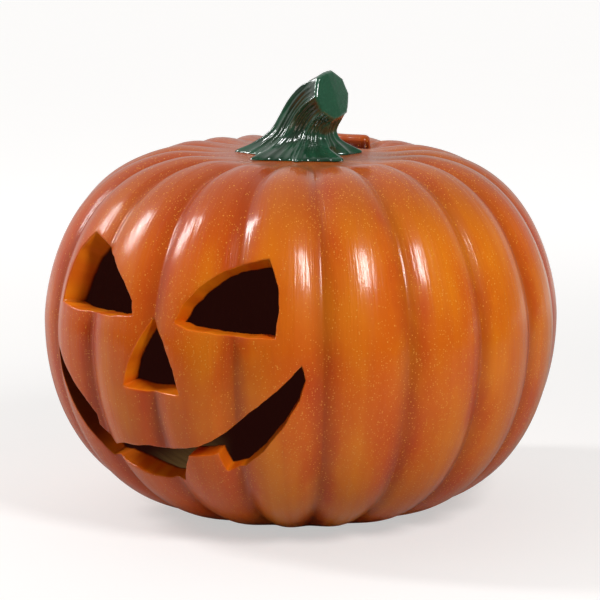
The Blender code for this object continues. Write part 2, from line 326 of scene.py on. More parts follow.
# %% One skin with the cuts left open
def lay_skin(blank, steps, row_count, rings, ring_numbers, hollow):
    """Adds the outer skin or, where hollow is true, the inner one. Returns its top and base rows."""
    rows, columns = rows_along(row_count), columns_round(steps)
    place, along = np.meshgrid(columns, rows, indexing="ij")
    if hollow:
        grid = blank.add(place, along, wall_at(along), 2.0, 0.0)
    else:
        grid = blank.add(place, along, 0.0, 0.0, groove_room(along))
    face_half = FACE_RIBS * RIB_PITCH
    in_face = np.abs(columns) < face_half + 1e-6
    first, last = in_face.nonzero()[0][[0, -1]]
    order = list(range(last, len(columns))) + list(range(first + 1))
    for a, b in zip(order, order[1:]):
        blank.band(grid[a], grid[b], closed=False)

    points = flat(place, along)[first : last + 1].reshape(-1, 2)
    numbers = grid[first : last + 1].ravel()
    shape = (last + 1 - first, len(rows))
    border = np.zeros(shape, bool)
    border[[0, -1]] = True
    border[:, [0, -1]] = True
    taken = np.zeros(len(points), bool)
    for ring in rings:
        taken |= inside(points, ring) | beside(points, ring, CLEAR_OF_CUT * (3 if hollow else 1))
    keep = border.ravel() | ~taken
    counted = np.cumsum(keep) - 1
    ties = []
    for line in np.arange(len(points)).reshape(shape)[[0, -1]]:
        ties += list(zip(counted[line[:-1]].tolist(), counted[line[1:]].tolist()))
    points, numbers = points[keep].tolist(), numbers[keep].tolist()
    for ring, names in zip(rings, ring_numbers):
        start = len(points)
        ties += [(start + n, start + (n + 1) % len(ring)) for n in range(len(ring))]
        points += ring.tolist()
        numbers += names.tolist()
    joined = delaunay_2d_cdt([Vector(point) for point in points], ties, [], 0, WELD)
    spots, _, triangles, came_from, _, _ = joined
    spots = np.array([spot[:] for spot in spots])
    names = np.array([numbers[sources[0]] for sources in came_from])
    triangles = np.array(triangles)
    middles = spots[triangles].mean(1)
    open_cut = np.zeros(len(triangles), bool)
    for ring in rings:
        open_cut |= inside(middles, ring)
    blank.faces += names[triangles[~open_cut]].tolist()
    return grid[:, 0], grid[:, -1]


# %% The walls of one cut
def lay_cut(blank, ring, slant, ledge, seed):
    """Adds the rounded edge and the wall of a cut. Returns its outer and inner rings."""
    sides = ring_sides(ring)
    stray = knife_wander(ring, seed)
    twist = knife_wander(ring, seed + 11)
    levels = []
    for degrees in EDGE_STEPS:
        turn = math.radians(degrees)
        levels.append((EDGE_ROUND * (1 - math.sin(turn)), EDGE_ROUND * (1 - math.cos(turn)), None))
    levels += [(0.0, 0.0, share) for share in WALL_STEPS] + [(0.0, 0.0, 1.0)]
    rows = []
    for aside, deep, share in levels:
        depth_here = wall_at(ring[:, 1])
        wall = deep / depth_here if share is None else np.full(len(ring), share)
        spots = ring + sides * (aside + stray + wall * twist)[:, None]
        spots[:, 1] += (slant - ledge * np.maximum(sides[:, 1], 0)) * wall
        place, along = spots[:, 0] / HALF_WIDTH, spots[:, 1]
        room = groove_room(along) * (1 - wall)
        rows.append((spots, blank.add(place, along, wall * wall_at(along), wall, room)))
    for one, other in zip(rows, rows[1:]):
        blank.band(one[1], other[1])
    return rows[0], rows[-1]


# %% Level discs under the stem and at the base
def lay_disc(blank, row, shares):
    """Closes a ring of points with a level disc, as rings that shrink to one point in the middle."""
    made = [blank.points[number] for number in row]
    last = row
    for share in shares:
        spots = [[place, along, depth, wall, -share - 2] for place, along, depth, wall, _ in made]
        first = len(blank.points)
        blank.points += spots
        ring = np.arange(first, len(blank.points))
        blank.band(last, ring)
        last = ring
    blank.points.append(made[0][:4] + [-2.0])
    middle = len(blank.points) - 1
    ring = np.append(last, last[0])
    blank.faces += [[int(a), int(b), middle] for a, b in zip(ring, ring[1:])]


# %% From points to an object
def store(mesh, name, kind, values):
    """Keeps one value for each point of a mesh, as an attribute."""
    field = {"FLOAT": "value", "FLOAT_VECTOR": "vector"}[kind]
    kept = mesh.attributes.new(name, kind, "POINT").data
    kept.foreach_set(field, np.asarray(values, np.float32).ravel())


def in_scene(name, data):
    """A new object with this mesh, camera or lamp, linked to the scene."""
    thing = bpy.data.objects.new(name, data)
    bpy.context.scene.collection.objects.link(thing)
    return thing


def mesh_object(name, points, faces, numbers):
    """An object of this mesh, without loose points, with its numbers stored and its faces outward."""
    used = np.unique(np.concatenate([np.asarray(face) for face in faces]))
    renamed = np.full(len(points), -1)
    renamed[used] = np.arange(len(used))
    mesh = bpy.data.meshes.new(name)
    mesh.from_pydata(points[used].tolist(), [], [renamed[face].tolist() for face in faces])
    for key, (kind, values) in numbers.items():
        store(mesh, key, kind, np.asarray(values)[used])
    work = bmesh.new()
    work.from_mesh(mesh)
    bmesh.ops.recalc_face_normals(work, faces=work.faces)
    work.to_mesh(mesh)
    work.free()
    mesh.shade_smooth()
    return in_scene(name, mesh)


# %% [markdown]
# ## The seat of the bar
# The bar behind the stem lies in a shallow seat, and that is why so much of its front shows. The seat is
# a soft dip of a few millimetres with a slope all round. It needs no mesh of its own: the points of the
# blank that lie there are lowered, as those of the whole top are by its dip to the front.

# %% The seat
SEAT_DEPTH = 0.0065
SEAT_SIDES = (-0.034, 0.026)
SEAT_BACK = (0.072, 0.090)
SEAT_SLOPE = 0.016
SEAT_RISE = 0.011


def seat_at(x, y):
    """How deep the shallow seat in front of the bar is here."""
    aside = np.maximum(np.maximum(SEAT_SIDES[0] - x, x - SEAT_SIDES[1]), 0)
    ahead = np.maximum(np.maximum(SEAT_BACK[0] - y, y - SEAT_BACK[1]), 0)
    clear_of_stem = ease((np.hypot(x, y) - FLOOR_RADIUS) / SEAT_RISE)
    return SEAT_DEPTH * clear_of_stem * (1 - ease(np.hypot(aside, ahead) / SEAT_SLOPE))


print("the seat is at most", 1000 * SEAT_DEPTH, "mm deep")


# %% The whole blank
def make_blank():
    """The closed blank of the shell, with the numbers that the ribs and the paint need."""
    blank = Blank()
    outer, inner = [], []
    for number, (ring, (slant, ledge)) in enumerate(zip(CUT_RINGS, CUT_TILTS)):
        edge, back = lay_cut(blank, ring, slant, ledge, 20.0 * number + 3)
        outer.append(edge)
        inner.append(back)
    ends = []
    for steps, rows, cuts, hollow in ((SKIN_STEPS, SKIN_ROWS, outer, False),
                                      (HOLLOW_STEPS, HOLLOW_ROWS, inner, True)):
        ends += lay_skin(blank, steps, rows, [spots for spots, _ in cuts], [n for _, n in cuts], hollow)
    for row in ends:
        lay_disc(blank, row, DISC_SHARES)
    place, along, depth, wall, room = np.array(blank.points).T
    points = body_at(place, along, depth)
    shrink = np.where(room < -1, -room - 2, 1.0)
    points[:, :2] *= shrink[:, None]
    on_top = (points[:, 2] > WIDEST) * np.clip(1 - wall, 0, 1)
    x, y = points[:, 0], points[:, 1]
    points[:, 2] -= on_top * (dip_at(x, y) + seat_at(x, y))
    room = np.maximum(room, 0.0)
    grain = np.stack([HALF_WIDTH * np.sin(place), -HALF_WIDTH * np.cos(place), along], 1)
    return mesh_object("carved_shell", points, blank.faces, {
        "place": ("FLOAT", place),
        "inward": ("FLOAT_VECTOR", inward_at(place, along)),
        "room": ("FLOAT", room),
        "wall": ("FLOAT", wall),
        "grain": ("FLOAT_VECTOR", grain),
    })


shell = make_blank()
print("blank:", len(shell.data.vertices), "points and", len(shell.data.polygons), "faces")

# %% [markdown]
# ## Helpers for node trees
# Shapes and paints are both built from node trees below, and both need the same few moves: add a node,
# feed its sockets with a number or with another node, and take its result on to the next.


# %% Small words for building trees
def feed(tree, value, socket):
    """Joins a node's output to a socket, or writes a plain value there."""
    if isinstance(value, bpy.types.NodeSocket):
        tree.links.new(value, socket)
    else:
        socket.default_value = value


def node(tree, kind, settings=None, **values):
    """A new node with its settings, and its sockets fed by name (with _ for a space)."""
    made = tree.nodes.new(kind)
    for key, value in (settings or {}).items():
        setattr(made, key, value)
    for name, value in values.items():
        feed(tree, value, made.inputs[name.replace("_", " ")])
    return made


def reckon(tree, operation, *values, vector=False):
    """One step of arithmetic on numbers or, with vector, on vectors."""
    made = tree.nodes.new("ShaderNodeVectorMath" if vector else "ShaderNodeMath")
    made.operation = operation
    slots = {"SCALE": (0, 3)}.get(operation, (0, 1, 2))
    for slot, value in zip(slots, values):
        feed(tree, value, made.inputs[slot])
    return made.outputs["Value" if operation == "DOT_PRODUCT" else 0]


def times(tree, one, other):
    """Two numbers multiplied."""
    return reckon(tree, "MULTIPLY", one, other)


def spread(tree, value, low, high, to_low=0.0, to_high=1.0):
    """Stretches a value from one range to another with soft ends."""
    made = tree.nodes.new("ShaderNodeMapRange")
    made.interpolation_type = "SMOOTHSTEP"
    for slot, number in enumerate((value, low, high, to_low, to_high)):
        feed(tree, number, made.inputs[slot])
    return made.outputs[0]


def new_group(name, kind, inputs, outputs):
    """An empty node group. A socket is given as its kind, or as the number that it starts from."""
    tree = bpy.data.node_groups.new(name, kind)
    for way, sockets in (("INPUT", inputs), ("OUTPUT", outputs)):
        for label, what in sockets.items():
            sort = what if isinstance(what, str) else "Float"
            socket = tree.interface.new_socket(label, in_out=way, socket_type="NodeSocket" + sort)
            if sort == "Float" and what != sort:
                socket.default_value = what
    given, result = tree.nodes.new("NodeGroupInput"), tree.nodes.new("NodeGroupOutput")
    return tree, given.outputs, result.inputs


def noise_at(tree, place, scale, detail, **more):
    """Soft random values at a place."""
    return node(tree, "ShaderNodeTexNoise", Vector=place, Scale=scale, Detail=detail, **more).outputs[0]


# %% Words for shaping trees
def stored(tree, name, kind="FLOAT"):
    """A number that was stored on the points of a blank."""
    return node(tree, "GeometryNodeInputNamedAttribute", {"data_type": kind}, Name=name).outputs[0]


def seeded_noise(tree, seed, scale):
    """Soft random values along the grain, which another seed makes anew."""
    grain = stored(tree, "grain", "FLOAT_VECTOR")
    return node(tree, "ShaderNodeTexNoise", {"noise_dimensions": "4D"},
                Vector=grain, W=seed, Scale=scale, Detail=2.0).outputs[0]


def push_and_paint(tree, given, result, way, depth, name, value):
    """The end of a shaping tree: it moves the points, keeps a value for the paint and sets the paint."""
    push = reckon(tree, "SCALE", stored(tree, way, "FLOAT_VECTOR"), depth, vector=True)
    moved = node(tree, "GeometryNodeSetPosition", Geometry=given["Geometry"], Offset=push)
    kept = node(tree, "GeometryNodeStoreNamedAttribute", {"data_type": "FLOAT", "domain": "POINT"},
                Geometry=moved.outputs[0], Name=name, Value=value)
    real = node(tree, "GeometryNodeRealizeInstances", Geometry=kept.outputs[0])
    dressed = node(tree, "GeometryNodeSetMaterial", Geometry=real.outputs[0], Material=given["Paint"])
    feed(tree, dressed.outputs[0], result[0])


# %% [markdown]
# ## Ribs
# The ribs of a pumpkin follow a rule: so many round the body, each a round bulge with a crease on either
# side. That is work for Geometry Nodes. The tree pushes each point of the blank straight in, by the
# depth of the groove at its place, and it stores that depth share for the paint, which lays painted
# shade into the grooves. Its sizes are named inputs, so another pumpkin is a few numbers away.

# %% Sizes of the ribs
RIB_DEPTH = 0.0102
RIB_ROUND = 0.86
CREASE_SOFT = 0.075
UNEVEN = 0.0011
UNEVEN_SCALE = 9.0
RIB_SEED = 4.0


def ribs_tree():
    """The Geometry Nodes tree that presses the grooves into a blank."""
    tree, given, result = new_group("ribs", "GeometryNodeTree", {
        "Geometry": "Geometry", "Ribs": 12.0, "Groove Depth": 0.01, "Roundness": 0.9,
        "Crease Softness": 0.03, "Unevenness": 0.001, "Seed": 0.0, "Paint": "Material",
    }, {"Geometry": "Geometry"})

    def rest(value):
        """What is left of one."""
        return reckon(tree, "SUBTRACT", 1.0, value)

    def fall(squared):
        """How far a round bulge has fallen below its crest, from the square of the way across."""
        return rest(reckon(tree, "SQRT", rest(squared)))

    turns = reckon(tree, "DIVIDE", times(tree, stored(tree, "place"), given["Ribs"]), math.tau)
    beat = reckon(tree, "MULTIPLY_ADD", reckon(tree, "FRACT", turns), 2.0, -1.0)
    from_groove = rest(reckon(tree, "ABSOLUTE", beat))
    squares = [reckon(tree, "POWER", value, 2.0) for value in (from_groove, given["Crease Softness"])]
    softened = reckon(tree, "POWER", reckon(tree, "ADD", *squares), 0.5)
    across = reckon(tree, "MAXIMUM", rest(softened), 0.0)
    bulge = fall(times(tree, given["Roundness"], reckon(tree, "POWER", across, 2.0)))
    room = stored(tree, "room")
    share = times(tree, reckon(tree, "DIVIDE", bulge, fall(given["Roundness"])), room)
    hills = seeded_noise(tree, given["Seed"], UNEVEN_SCALE)
    uneven = times(tree, times(tree, hills, given["Unevenness"]), room)
    depth = reckon(tree, "ADD", times(tree, share, given["Groove Depth"]), uneven)
    push_and_paint(tree, given, result, "inward", depth, "groove", share)
    return tree


# %% Running a tree on a blank
def shape_with(thing, tree, sizes):
    """Runs a tree on an object with these sizes. The object keeps the plain mesh that comes out."""
    modifier = thing.modifiers.new(tree.name, "NODES")
    modifier.node_group = tree
    for socket in tree.interface.items_tree:
        if socket.in_out == "INPUT" and socket.name in sizes:
            modifier[socket.identifier] = sizes[socket.name]
    settled = thing.evaluated_get(bpy.context.evaluated_depsgraph_get())
    plain = bpy.data.meshes.new_from_object(settled)
    thing.modifiers.remove(modifier)
    thing.data = plain
    plain.shade_smooth()
    print(thing.name, "has", len(plain.polygons), "faces and is",
          [round(side, 4) for side in thing.dimensions], "m")
    return thing


# %% [markdown]
# ## Paint
# The orange is built up by hand: a yellow-orange ground, red-orange dabs, a fine spatter of yellow and a
# thick clear varnish whose brush lines break up the highlights. Painted shade lies in the grooves, a
# little more towards the base, on the top and on the bar's lower front. The dabs thicken towards the
# grooves, and that is painted shade as well. A faint painted light glows inside the hollow.
# The brush lines and the cloudy mixing of two colours are on the green stem as well, so each is a node
# group that both paints use with values of their own.


# %% Groups that both paints use
BROAD_LINES = 0.22
BROAD_HEIGHT = 1.4
DULL_LINES = (0.35, 0.7)
RIDGE_HEIGHT = 0.0004
CLOUD_EDGE = (0.3, 0.7)


def blend(tree, mask, one, other):
    """One colour laid over another where the mask is white."""
    made = node(tree, "ShaderNodeMix", {"data_type": "RGBA"})
    for slot, value in ((0, mask), (6, one), (7, other)):
        feed(tree, value, made.inputs[slot])
    return made.outputs[2]


def brush_lines_group():
    """Fine ridges that run along the grain, as height, and how dull they leave the surface."""
    tree, given, result = new_group("brush_lines", "ShaderNodeTree", {
        "Grain": "Vector", "Fineness": 300.0, "Stretch": 0.06,
    }, {"Height": "Float", "Dullness": "Float"})
    squeezed = node(tree, "ShaderNodeCombineXYZ", X=1.0, Y=1.0, Z=given["Stretch"]).outputs[0]
    way = reckon(tree, "MULTIPLY", given["Grain"], squeezed, vector=True)
    fine = noise_at(tree, way, given["Fineness"], 3.0)
    broad = noise_at(tree, way, times(tree, given["Fineness"], BROAD_LINES), 1.0)
    feed(tree, reckon(tree, "MULTIPLY_ADD", broad, BROAD_HEIGHT, fine), result["Height"])
    feed(tree, spread(tree, broad, *DULL_LINES), result["Dullness"])
    return tree


def cloudy_group():
    """Two colours brushed into each other in long soft clouds, with their mask."""
    tree, given, result = new_group("cloudy_colour", "ShaderNodeTree", {
        "Grain": "Vector", "Scale": 20.0, "Lean": 0.0, "One": "Color", "Other": "Color",
    }, {"Colour": "Color", "Mask": "Float"})
    way = reckon(tree, "MULTIPLY", given["Grain"], (1.0, 1.0, 0.5), vector=True)
    clouds = noise_at(tree, way, given["Scale"], 3.0, Roughness=0.45)
    mask = spread(tree, reckon(tree, "ADD", clouds, given["Lean"]), *CLOUD_EDGE)
    feed(tree, blend(tree, mask, given["One"], given["Other"]), result["Colour"])
    feed(tree, mask, result["Mask"])
    return tree


BRUSH_LINES = brush_lines_group()
CLOUDY = cloudy_group()


def group(tree, which, **values):
    """Places a node group in a material and feeds its sockets by name."""
    return node(tree, "ShaderNodeGroup", {"node_tree": which}, **values).outputs


def painted_by(tree, name, output="Fac"):
    """A value that was stored on the points, for use in a paint."""
    return node(tree, "ShaderNodeAttribute", {"attribute_name": name}).outputs[output]


def dress(tree, shader, coats, height=None, strength=0.0):
    """Feeds a shader's sockets by name, with fine relief on the paint and on the varnish over it."""
    if height is not None:
        bump = node(tree, "ShaderNodeBump", Strength=strength, Distance=RIDGE_HEIGHT, Height=height)
        coats = coats | dict.fromkeys(("Normal", "Coat Normal"), bump.outputs[0])
    for socket, value in coats.items():
        feed(tree, value, shader.inputs[socket])


def paint(name, settings):
    """A new material with its fixed values on the shader. Returns it with its tree and shader."""
    made = bpy.data.materials.new(name)
    made.use_nodes = True
    shader = made.node_tree.nodes["Principled BSDF"]
    for socket, value in settings.items():
        shader.inputs[socket].default_value = value
    return made, made.node_tree, shader


def colour(red, green, blue):
    """A colour as the eye names it, 0 to 255, as the linear light that a shader needs."""
    def light(step):
        return step / 12.92 if step <= 0.04045 else ((step + 0.055) / 1.055) ** 2.4

    return (*[light(value / 255) for value in (red, green, blue)], 1.0)


# %% Colours of the orange paint
YELLOW_ORANGE = colour(238, 132, 14)
ORANGE = colour(224, 99, 10)
RED_ORANGE = colour(204, 66, 8)
GROOVE_SHADE_RED = colour(136, 50, 16)
TOP_SHADE = colour(168, 72, 20)
BAR_SHADE = colour(84, 22, 7)
FLECK_YELLOW = colour(244, 172, 70)
CUT_DARK = colour(104, 32, 6)
INSIDE_DARK = colour(100, 50, 28)
HOLLOW_GLOW = colour(27, 8, 6)
FLOOR_GLOW = colour(84, 64, 36)
NO_GLOW = colour(0, 0, 0)

# %% [markdown]
# Each coat has a mask, which is a value stretched between two limits. In the values below, the first two
# numbers are those limits. Where two more follow, they say what the mask goes from and to.

# %% The ground coats
CLOUD_SCALE = 15.0
DAB_SCALE = 24.0
DAB_LEAN = -0.02
DAB_SHADE_FLANK = (0.02, 0.4, 0.25, 1.0)
DAB_SHARE = 0.85
GROOVE_SHADE_BAND = (0.2, 0.8)
GROOVE_SHADE_HEIGHT = (0.31, 0.14, 0.35, 0.45)
LINE_SHARE = 0.12
TOP_SHADE_BAND = (0.27, 0.345, 0.0, 0.7)
BAR_SHADE_BAND = (1.0, 1.8)


def ground_coats(tree, grain, groove, height, redder, lines):
    """Orange clouds; red dabs, thicker near the grooves as painted shade; painted shade in grooves, top
    and bar.
    """
    skin = group(tree, CLOUDY, Grain=grain, Scale=CLOUD_SCALE, Lean=redder,
                 One=YELLOW_ORANGE, Other=ORANGE)
    dabs = group(tree, CLOUDY, Grain=grain, Scale=DAB_SCALE, Lean=DAB_LEAN, One=ORANGE, Other=RED_ORANGE)
    # Red dabs of random tone, made thicker towards the grooves as painted shade.
    flank_dabs_and_shade = times(tree, spread(tree, groove, *DAB_SHADE_FLANK), dabs["Mask"])
    skin = blend(tree, times(tree, flank_dabs_and_shade, DAB_SHARE), skin["Colour"], RED_ORANGE)
    # Painted shade in the grooves, a little more towards the base.
    groove_shade = times(tree, spread(tree, groove, *GROOVE_SHADE_BAND), spread(tree, height, *GROOVE_SHADE_HEIGHT))
    skin = blend(tree, groove_shade, skin, GROOVE_SHADE_RED)
    skin = blend(tree, times(tree, lines["Dullness"], LINE_SHARE), skin, RED_ORANGE)
    # Painted shade on the top of the body, darker towards the stem.
    skin = blend(tree, spread(tree, height, *TOP_SHADE_BAND), skin, TOP_SHADE)
    # Painted shade on the bar's lower front.
    return blend(tree, spread(tree, groove, *BAR_SHADE_BAND), skin, BAR_SHADE)


# %% The flecks
FLECK_SCALE = 590.0
FLECK_SIZE = 0.44
PATCH_SCALE = 7.0
PATCH_LEAN = 0.6
FLECK_CHANCE = (0.35, 0.65, 0.7, 0.05)
FLECK_STRENGTH = (0.0, 1.0, 0.08, 0.65)


def fleck_mask(tree, place, redder):
    """Where the yellow flecks lie. They come in patches, with fewer where the paint is redder."""
    dots = node(tree, "ShaderNodeTexVoronoi", Vector=place, Scale=FLECK_SCALE).outputs
    luck = node(tree, "ShaderNodeSeparateColor", Color=dots["Color"]).outputs
    patchy = noise_at(tree, place, PATCH_SCALE, 1.0)
    patchy = reckon(tree, "SUBTRACT", patchy, times(tree, redder, PATCH_LEAN))
    fleck = reckon(tree, "LESS_THAN", dots["Distance"], times(tree, luck[1], FLECK_SIZE))
    chosen = reckon(tree, "GREATER_THAN", luck[0], spread(tree, patchy, *FLECK_CHANCE))
    return times(tree, times(tree, fleck, chosen), spread(tree, luck[2], *FLECK_STRENGTH))


# %% The cut edges
CUT_SCALE = 60.0
GRIN_SHADE_ASIDE = (-0.07, -0.095)
GRIN_SHADE_HEIGHT = (0.205, 0.18)
GRIN_SHADE_SHARE = 0.95
CUT_BACK = (0.82, 1.05)


def cut_coats(tree, grain, wall, parts):
    """The yellow-orange of the cut edges, with painted shade in a corner of the grin, and darker at the
    back.
    """
    cut = group(tree, CLOUDY, Grain=grain, Scale=CUT_SCALE, One=YELLOW_ORANGE, Other=ORANGE)["Colour"]
    # Painted shade on the cut walls in the grin's corner on the -X side, low on the face.
    grin_shade = times(tree, spread(tree, parts["X"], *GRIN_SHADE_ASIDE), spread(tree, parts["Z"], *GRIN_SHADE_HEIGHT))
    cut = blend(tree, times(tree, grin_shade, GRIN_SHADE_SHARE), cut, CUT_DARK)
    return blend(tree, spread(tree, wall, *CUT_BACK), cut, CUT_DARK)


# %% Painted light inside the hollow
STREAK_STRETCH = (30.0, 160.0, 0.0)
GLOW_HEIGHT = (0.045, 0.024)
GLOW_ASIDE = (-0.07, -0.1)
GLOW_STREAKS = (0.3, 0.7, 0.6, 1.0)


def painted_hollow_light(tree, place, height, aside):
    """Painted light: a faint glow on all the inner skin, and a brighter streaky glow low on its floor at
    the left.
    """
    stretched = reckon(tree, "MULTIPLY", place, STREAK_STRETCH, vector=True)
    streaks = noise_at(tree, stretched, 1.0, 2.0)
    low = times(tree, spread(tree, height, *GLOW_HEIGHT), spread(tree, aside, *GLOW_ASIDE))
    low = times(tree, low, spread(tree, streaks, *GLOW_STREAKS))
    return blend(tree, low, HOLLOW_GLOW, FLOOR_GLOW)


# %% The whole orange paint
WARM_WAY = math.radians(33)
REDDER = (-0.2, 0.14, 0.15, -0.065)
CUT_START = (0.005, 0.05)
WITHIN = (1.0, 1.5)
VARNISH = (0.03, 0.25, 0.7, 0.3)
LINE_ROUGH = (0.0, 1.0, 0.30, 0.42)
WALL_ROUGH = (0.02, 0.3, 0.0, 0.2)


def orange_paint():
    """The paint of the shell and the bar, from the ground coats to the varnish."""
    made, tree, shader = paint("orange_paint", {
        "Specular IOR Level": 0.12,
        "Coat Roughness": 0.145,
        "Coat IOR": 1.5,
        "Emission Strength": 1.0,
    })
    grain = painted_by(tree, "grain", "Vector")
    wall, groove = painted_by(tree, "wall"), painted_by(tree, "groove")
    place = node(tree, "ShaderNodeTexCoord").outputs["Object"]
    parts = node(tree, "ShaderNodeSeparateXYZ", Vector=place).outputs
    warm = (math.cos(WARM_WAY), math.sin(WARM_WAY), 0.0)
    aside = reckon(tree, "DOT_PRODUCT", place, warm, vector=True)
    redder = spread(tree, aside, *REDDER)
    lines = group(tree, BRUSH_LINES, Grain=grain, Fineness=420.0, Stretch=0.05)

    skin = ground_coats(tree, grain, groove, parts["Z"], redder, lines)
    skin = blend(tree, fleck_mask(tree, place, redder), skin, FLECK_YELLOW)
    dressed = blend(tree, spread(tree, wall, *CUT_START), skin, cut_coats(tree, grain, wall, parts))
    within = spread(tree, wall, *WITHIN)
    # Painted light: the inside of the hollow glows a little by itself.
    glow = blend(tree, within, NO_GLOW, painted_hollow_light(tree, place, parts["Z"], aside))
    rough = spread(tree, lines["Dullness"], *LINE_ROUGH)
    dress(tree, shader, {
        "Base Color": blend(tree, within, dressed, INSIDE_DARK),
        "Emission Color": glow,
        "Coat Weight": spread(tree, wall, *VARNISH),
        "Roughness": reckon(tree, "ADD", rough, spread(tree, wall, *WALL_ROUGH)),
    }, lines["Height"], 0.75)
    return made


ORANGE_PAINT = orange_paint()
shape_with(shell, ribs_tree(), {
    "Ribs": float(RIBS),
    "Groove Depth": RIB_DEPTH,
    "Roundness": RIB_ROUND,
    "Crease Softness": CREASE_SOFT,
    "Unevenness": UNEVEN,
    "Seed": RIB_SEED,
    "Paint": ORANGE_PAINT,
})
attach(shell, "root")
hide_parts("shell")

# %% [markdown]
# ## The stem
# The stem is a bent, fluted stub. Its foot spreads into pointed toes that lie on the pumpkin, with a
# straight skirt in front, and its end is cut off square and a little domed. The blank is a plain bent
# tube, drawn through a few stations. The flutes go right round at a regular step, so Geometry Nodes
# press them in: broad ones that end in the toes, and fine ones between them.

# %% The stem's centre line
STEM_GAP = 0.0003
STEM_TURN = math.radians(83)
STEM_STATIONS = np.array([
    # out, up, tip in degrees, radius, how far the toes and flutes stand out
    (-0.003, 0.0, 0, 0.0540, 0.0085),
    (-0.0025, 0.0025, 0, 0.0518, 0.0083),
    (0.001, 0.009, 2, 0.0415, 0.0050),
    (0.005, 0.018, 9, 0.0310, 0.0030),
    (0.009, 0.029, 22, 0.0262, 0.0024),
    (0.0165, 0.0405, 40, 0.0248, 0.0022),
    (0.0265, 0.050, 60, 0.0246, 0.0018),
    (0.0378, 0.0570, 77, 0.0242, 0.0007),
])
STEM_STEPS = 240
STEM_RINGS = 72
END_SHARES = (0.998, 0.992, 0.982, 0.968, 0.95, 0.925, 0.9, 0.84, 0.75, 0.6, 0.42, 0.22, 0.08)
END_ROUND = 0.1
END_DOME = 0.0008
END_CREST = 0.0016
CREST_TURN = 0.2
FOOT_CLOSED = 0.4
FOOT_DIP = 0.5
FOOT_SHIFT = math.radians(4.7)
FOOT_SWAY = math.radians(6.5)
FOOT_SWAY_AT = math.radians(119.4)
SKIRT_MIDDLE = math.radians(-50.6)
SKIRT_HALF = math.radians(40.1)
SKIRT_SHARE = 1.01
SKIRT_SHARES = (0.1, 0.45)
SKIRT_SINK = 0.004
NO_SKIRT = -0.02
GRAIN_ROUND = 0.03
GRAIN_LONG = 0.09


def station_at(share):
    """Out, up, tip, radius and stand-out at this share of the stem's length."""
    spot = share * (len(STEM_STATIONS) - 1)
    low = min(int(spot), len(STEM_STATIONS) - 2)
    t = spot - low
    near = np.clip([low - 1, low, low + 1, low + 2], 0, len(STEM_STATIONS) - 1)
    p0, p1, p2, p3 = STEM_STATIONS[near]
    go1, go2 = (p2 - p0) / 2, (p3 - p1) / 2
    return ((2 * t**3 - 3 * t**2 + 1) * p1 + (t**3 - 2 * t**2 + t) * go1
            + (3 * t**2 - 2 * t**3) * p2 + (t**3 - t**2) * go2)


# %% The stem's blank
def make_stem():
    """A bent tube with a closed foot and a rounded end, and the numbers that the flutes need."""
    floor = HEIGHT[0] + STEM_GAP
    out_way = np.array([math.sin(STEM_TURN), -math.cos(STEM_TURN), 0.0])
    side_way = np.array([math.cos(STEM_TURN), math.sin(STEM_TURN), 0.0])
    upward = np.array([0.0, 0.0, 1.0])
    turn = np.linspace(0, math.tau, STEM_STEPS, endpoint=False)
    levels = [(number / STEM_RINGS, 1.0) for number in range(STEM_RINGS + 1)]
    levels = [(0.0, FOOT_CLOSED)] + levels + [(1.0, share) for share in END_SHARES]
    points, numbers = [], []
    for share, shrink in levels:
        out, up, tip, radius, stand = station_at(share)
        tip = math.radians(tip)
        low_way = out_way * math.cos(tip) - upward * math.sin(tip)
        along = out_way * math.sin(tip) + upward * math.cos(tip)
        middle = out_way * out + upward * (floor + up)
        way = np.cos(turn)[:, None] * low_way + np.sin(turn)[:, None] * side_way
        ring = middle + radius * shrink * way
        if share == 1.0:
            over = min((1 - shrink) / END_ROUND, 1.0)
            swell = END_DOME * (1 - shrink**2) + END_ROUND * radius * math.sqrt(1 - (1 - over) ** 2)
            swell = swell + END_CREST * over * (1 - shrink * np.abs(np.sin(turn - CREST_TURN)))
            ring = ring + swell[:, None] * along
        if share < FOOT_DIP:
            ring[:, 2] -= dip_at(ring[:, 0], ring[:, 1]) * (1 - ease(share / FOOT_DIP))
        points.append(ring)
        low_down = 1 - ease((share - SKIRT_SHARES[0]) / (SKIRT_SHARES[1] - SKIRT_SHARES[0]))
        aside = np.abs((turn - SKIRT_MIDDLE + math.pi) % math.tau - math.pi)
        skirt = radius * (SKIRT_SHARE / np.cos(np.minimum(aside, SKIRT_HALF)) - 1)
        skirt = skirt * low_down - SKIRT_SINK * (1 - low_down)
        skirt = np.where(aside < SKIRT_HALF, skirt, NO_SKIRT)
        phase = turn + FOOT_SHIFT + FOOT_SWAY * np.sin(2 * turn + FOOT_SWAY_AT)
        for at, outward, edge in zip(phase, way, skirt * shrink):
            numbers.append((at, *outward, stand * shrink, share, shrink, edge))
    rings = [np.arange(STEM_STEPS) + STEM_STEPS * number for number in range(len(levels))]
    blank = Blank()
    for one, other in zip(rings, rings[1:]):
        blank.band(one, other)
    blank.faces += [rings[0][::-1].tolist(), rings[-1].tolist()]
    at, out_x, out_y, out_z, stand, share, shrink, skirt = np.array(numbers).T
    round_way = GRAIN_ROUND * shrink
    grain = np.stack([round_way * np.cos(at), round_way * np.sin(at), share * GRAIN_LONG], 1)
    return mesh_object("fluted_stem", np.concatenate(points), blank.faces, {
        "turn": ("FLOAT", at),
        "outward": ("FLOAT_VECTOR", np.stack([out_x, out_y, out_z], 1)),
        "stand": ("FLOAT", stand),
        "share": ("FLOAT", share),
        "shrink": ("FLOAT", shrink),
        "skirt": ("FLOAT", skirt),
        "grain": ("FLOAT_VECTOR", grain),
    })


stem = make_stem()

